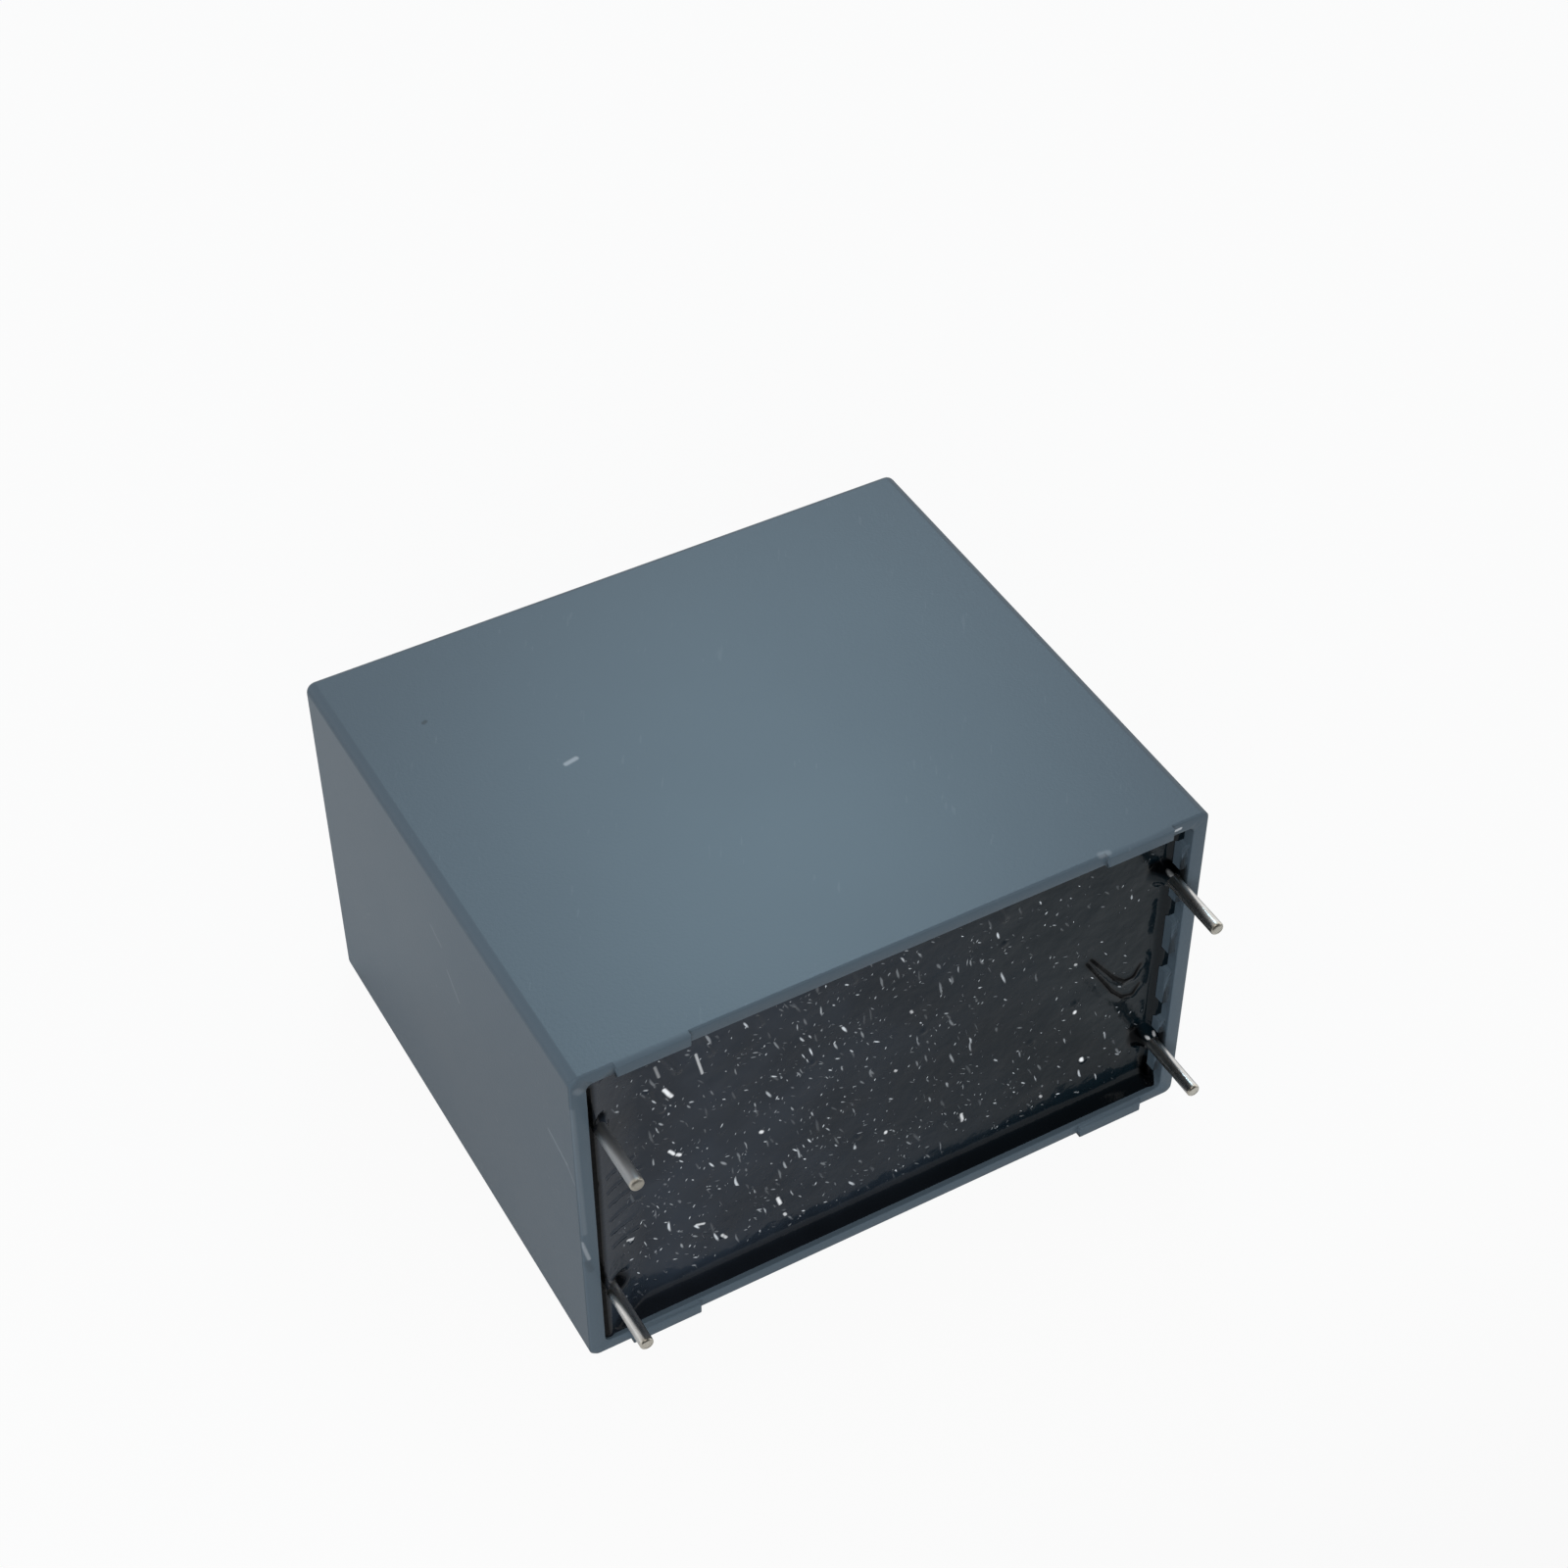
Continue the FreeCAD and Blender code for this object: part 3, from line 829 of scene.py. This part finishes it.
class CAPACITOR_OT_draw_leads(bpy.types.Operator):
    """Makes the four tinned wires with softly rounded cut ends"""

    bl_idname = "capacitor.draw_leads"
    bl_label = "Draw the leads"

    # a wire's sides, the steps of its rounded edge and length, and in metres the ring at its tip and its coat's lumps
    sides, edge_steps, length_steps, end_ring, coat_lumps = 40, 5, 110, 0.00012, 0.0016
    oxide_colour, dull_colour, cut_colour = (0.42, 0.36, 0.28, 1), (0.38, 0.40, 0.42, 1), (0.80, 0.74, 0.62, 1)

    def execute(self, context):
        wire = context.scene.capacitor_lead
        material = self.tin(wire)
        for node in LEADS:
            piece = self.make_wire(node, wire)
            give_material(piece, material)
            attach(piece, "root")
            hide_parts(node)
        return {"FINISHED"}

    def make_wire(self, node, wire):
        """One wire of a lead's full length, with a rounded tip and a slightly uneven tin coat."""
        low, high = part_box(node)
        middle = (low + high) / 2
        deselect_all()
        bpy.ops.mesh.primitive_cylinder_add(
            vertices=self.sides, radius=LEAD_RADIUS, depth=high.y - low.y, location=middle,
            rotation=(math.pi / 2, 0, 0), end_fill_type="NGON")
        piece = settle(bpy.context.object)
        piece.name = "tinned_" + node
        tip = low.y
        pick(piece, "EDGE", lambda edge: all(abs(p.y - tip) < 1e-6 for p in edge_ends(piece, edge)))
        bpy.ops.mesh.bevel(offset=wire.tip_round, segments=self.edge_steps, profile=0.5, affect="EDGES")
        half = (high.y - low.y) / 2
        pick(piece, "EDGE", lambda edge: abs(edge_ends(piece, edge)[0].y - edge_ends(piece, edge)[1].y) > half)
        bpy.ops.mesh.subdivide(number_cuts=self.length_steps)
        pick(piece, "FACE", lambda face: abs(face.normal.y) > 0.9 and face.center.y < tip + 1e-5)
        for _ in range(2):
            bpy.ops.mesh.inset(thickness=self.end_ring)
        deselect_all()
        coat = clouds("tin coat", self.coat_lumps, "BLENDER_ORIGINAL")
        group = piece.vertex_groups.new(name="free end")
        for vertex in piece.data.vertices:
            share = min(1.0, max(0.0, (RIM_Y + MM - vertex.co.y) / MM))
            group.add([vertex.index], share, "REPLACE")
        apply_modifier(
            piece, "DISPLACE", "tin coat", texture=coat, texture_coords="LOCAL", direction="NORMAL",
            strength=-wire.unevenness, mid_level=0.0, vertex_group="free end")
        piece.vertex_groups.clear()
        smooth(piece)
        return piece

    def tin(self, wire):
        """Bright tin with fine streaks along the wire and faint oxide, duller on the upper left lead."""
        material, tree, shader, place = start_material("bright_tin")
        across, back, up = split(tree, place)
        drawn = add_node(tree, "ShaderNodeMapping", {"Vector": place, "Scale": (1.0, 0.06, 1.0)})
        streaks = group_node(tree, "Fine Grain", drawn.outputs["Vector"], {
            "Size": 0.00022, "Roughness": 0.6}).outputs["Height"]
        tone = group_node(tree, "Tone Drift", place, {
            "Colour": opaque(wire.colour), "Size": 0.0022, "Amount": 0.12})
        oxide = remap(tree, tone.outputs["Mask"], 0.62, 0.95)
        dull = maths(tree, "MULTIPLY", remap(tree, across, 0.0, -0.02), remap(tree, up, MID_Z, MID_Z + 0.004))
        cut_end = remap(tree, back, LEAD_LOW.y + 0.0005, LEAD_LOW.y + 0.0002)
        colour = tone.outputs["Colour"]
        for mask, amount, target in (
                (oxide, 0.30, self.oxide_colour), (dull, 0.85, self.dull_colour), (cut_end, 0.7, self.cut_colour)):
            colour = blend_colours(tree, maths(tree, "MULTIPLY", mask, amount), colour, target)
        rough = maths(tree, "MULTIPLY_ADD", streaks, 0.12, 0.22)
        rough = maths(tree, "MULTIPLY_ADD", dull, 0.20, rough)
        fill(tree, shader, {"Base Color": colour, "Metallic": 1.0, "Roughness": rough})
        bump(tree, shader, streaks, 0.0000008)
        return material


class CAPACITOR_OT_coat_windings(bpy.types.Operator):
    """Gives the sealed windings, wraps, sprayed ends and solder their finishes"""

    bl_idname = "capacitor.coat_windings"
    bl_label = "Coat the windings"

    # node prefix, slot, colour, metallic, roughness, grain size, grain height
    finishes = (
        ("film_winding", "metallised_film", (0.62, 0.63, 0.65), 0.6, 0.30, 0.00040, 0.00001),
        ("outer_wrap", "plain_film", (0.80, 0.79, 0.74), 0.0, 0.18, 0.00090, 0.00002),
        ("end_spray", "sprayed_metal", (0.50, 0.50, 0.50), 0.9, 0.60, 0.00025, 0.00008),
        ("solder", "solder", (0.62, 0.62, 0.62), 1.0, 0.28, 0.00060, 0.00003),
    )

    def execute(self, context):
        for prefix, slot, colour, metallic, roughness, size, height in self.finishes:
            material, tree, shader, place = start_material(slot + "_finish")
            tone = group_node(tree, "Tone Drift", place, {
                "Colour": opaque(colour), "Size": size * 12, "Amount": 0.08})
            grain = group_node(tree, "Fine Grain", place, {"Size": size}).outputs["Height"]
            rough = maths(tree, "MULTIPLY_ADD", grain, 0.12, roughness - 0.06)
            fill(tree, shader, {"Base Color": tone.outputs["Colour"], "Metallic": metallic, "Roughness": rough})
            bump(tree, shader, grain, height)
            for name, node in NODES.items():
                if name.startswith(prefix):
                    give_material(node, material)
        return {"FINISHED"}


# Studio


class CAPACITOR_OT_set_studio(bpy.types.Operator):
    """Lays the pale floor and sets the lamps, the sky and the camera"""

    bl_idname = "capacitor.set_studio"
    bl_label = "Set up the studio"

    # name, setting of its power, place, aim, size, colour, and whether a mirror face shows it
    lamps = (
        ("overhead lamp", "key", (-0.14, -0.08, 0.60), (0, 0, 0.02), 0.50, (1.0, 0.94, 0.88), True),
        ("sheen lamp", "sheen", (0.155, 0.275, 0.390), (0, 0, 0.035), 0.15, (0.54, 0.80, 0.96), True),
        ("front lamp", "front", (-0.26, -0.50, 0.28), (0, -0.02, 0.018), 0.35, (1, 1, 1), False),
        ("side lamp", "side", (-0.50, 0.02, 0.12), (-0.02, 0, 0.018), 0.35, (0.5, 0.76, 1.0), False),
    )
    # the camera's directions to the right, up and ahead
    camera_axes = ((0.8715, -0.4904, -0.0028), (0.3448, 0.6086, 0.7146), (0.3488, 0.6237, -0.6995))
    # share of plain white in the floor, to the camera and in a mirror
    floor_glow, mirrored_glow = 0.93, 0.04
    backdrop_heading = (0.25, 0.70, -0.67)

    def execute(self, context):
        studio = context.scene.capacitor_studio
        self.lay_floor(studio)
        self.light_sky(context.scene, studio)
        for name, power, *rest in self.lamps:
            self.hang_lamp(name, getattr(studio, power), *rest)
        self.place_camera(context.scene, studio)
        context.scene.view_settings.view_transform = "Standard"
        return {"FINISHED"}

    def lay_floor(self, studio):
        """A wide pale floor, white to the camera, that keeps the object's shadow."""
        deselect_all()
        bpy.ops.mesh.primitive_circle_add(vertices=96, radius=3.0, fill_type="NGON", location=(0, 0, 0))
        floor = settle(bpy.context.object)
        floor.name = "studio_floor"
        material, tree, shader, place = start_material("pale_floor")
        tone = remap(tree, noise(tree, place, 9.0, 2.0), 0.2, 0.8, studio.floor_tone - 0.005, studio.floor_tone + 0.005)
        # it is darker in front, where the resin would mirror it
        _, back, _ = split(tree, place)
        tone = maths(tree, "MULTIPLY", tone, remap(tree, back, -0.100, -0.038, 0.15, 1.0))
        colour = add_node(tree, "ShaderNodeCombineColor", {"Red": tone, "Green": tone, "Blue": tone})
        fill(tree, shader, {"Base Color": colour.outputs["Color"], "Roughness": 0.95, "Specular IOR Level": 0.0})
        glow = add_node(tree, "ShaderNodeEmission", {"Color": (1, 1, 1, 1), "Strength": 1.0})
        seen, mirrored = ray_kinds(tree)
        share = maths(tree, "MULTIPLY_ADD", mirrored, self.mirrored_glow,
                      maths(tree, "MULTIPLY", seen, self.floor_glow), clamp=True)
        both = add_node(tree, "ShaderNodeMixShader", {
            0: share, 1: shader.outputs["BSDF"], 2: glow.outputs["Emission"]})
        fill(tree, tree.nodes["Material Output"], {"Surface": both.outputs["Shader"]})
        give_material(floor, material)

    def light_sky(self, scene, studio):
        """A soft light from all around, which the camera and mirrors see as a white backdrop."""
        world = bpy.data.worlds.new("soft sky")
        world.use_nodes = True
        tree = world.node_tree
        tree.nodes.clear()
        seen, mirrored = ray_kinds(tree)
        # a mirror sees a white backdrop low down and behind, and a dim room high up in front
        heading = add_node(tree, "ShaderNodeTexCoord").outputs["Generated"]
        facing = vector_maths(tree, "DOT_PRODUCT", heading, self.backdrop_heading)
        room = remap(tree, facing, -0.65, 0.15, 0.05, 1.0)
        strength = maths(tree, "MAXIMUM", seen, room)
        soft = add_node(tree, "ShaderNodeBackground", {"Color": (1, 1, 1, 1), "Strength": studio.sky})
        white = add_node(tree, "ShaderNodeBackground", {"Color": (1, 1, 1, 1), "Strength": strength})
        both = add_node(tree, "ShaderNodeMixShader", {
            0: maths(tree, "MAXIMUM", seen, mirrored), 1: soft.outputs["Background"], 2: white.outputs["Background"]})
        add_node(tree, "ShaderNodeOutputWorld", {"Surface": both.outputs["Shader"]})
        scene.world = world

    def hang_lamp(self, name, power, place, aim, size, colour, mirrored):
        """A round lamp at a place, turned to its aim."""
        data = bpy.data.lights.new(name, "AREA")
        data.color = colour
        data.shape = "DISK"
        data.size = size
        data.energy = power
        lamp = bpy.data.objects.new(name, data)
        bpy.context.scene.collection.objects.link(lamp)
        lamp.location = place
        lamp.rotation_euler = (Vector(aim) - Vector(place)).to_track_quat("-Z", "Y").to_euler()
        lamp.visible_glossy = mirrored

    def place_camera(self, scene, studio):
        """The camera that was fitted to the case's corners."""
        data = bpy.data.cameras.new("photo camera")
        data.sensor_width = 36
        data.lens = studio.focal_length
        data.clip_start, data.clip_end = 0.01, 20
        camera = bpy.data.objects.new("photo camera", data)
        scene.collection.objects.link(camera)
        right, up, ahead = (Vector(axis) for axis in self.camera_axes)
        turn = Matrix((right, up, -ahead)).transposed().to_4x4()
        camera.matrix_world = Matrix.Translation(Vector(studio.camera_place)) @ turn
        scene.camera = camera


# Sidebar and registration


class CAPACITOR_PT_sidebar(bpy.types.Panel):
    """Lists the steps that dress the capacitor, with their settings"""

    bl_idname = "CAPACITOR_PT_sidebar"
    bl_label = "Box Film Capacitor"
    bl_space_type = "VIEW_3D"
    bl_region_type = "UI"
    bl_category = "Capacitor"

    def draw(self, context):
        scene = context.scene
        for operator, settings in (
                ("capacitor.dress_case", scene.capacitor_case), ("capacitor.pour_resin", scene.capacitor_resin),
                ("capacitor.draw_leads", scene.capacitor_lead), ("capacitor.coat_windings", None),
                ("capacitor.set_studio", scene.capacitor_studio)):
            box = self.layout.box()
            box.operator(operator)
            if settings:
                for key in settings.__annotations__:
                    box.prop(settings, key)


CLASSES = (
    CaseFinish, ResinPour, LeadWire, StudioSetup,
    CAPACITOR_OT_dress_case, CAPACITOR_OT_pour_resin, CAPACITOR_OT_draw_leads,
    CAPACITOR_OT_coat_windings, CAPACITOR_OT_set_studio, CAPACITOR_PT_sidebar,
)


SETTINGS = {
    "capacitor_case": CaseFinish, "capacitor_resin": ResinPour, "capacitor_lead": LeadWire,
    "capacitor_studio": StudioSetup,
}


def register():
    for each in CLASSES:
        bpy.utils.register_class(each)
    for name, group in SETTINGS.items():
        setattr(bpy.types.Scene, name, PointerProperty(type=group))


def unregister():
    for name in SETTINGS:
        delattr(bpy.types.Scene, name)
    for each in reversed(CLASSES):
        bpy.utils.unregister_class(each)


def main():
    """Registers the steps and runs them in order."""
    register()
    bpy.ops.capacitor.dress_case()
    bpy.ops.capacitor.pour_resin()
    bpy.ops.capacitor.draw_leads()
    bpy.ops.capacitor.coat_windings()
    bpy.ops.capacitor.set_studio()
    deselect_all()


if __name__ == "__main__":
    main()
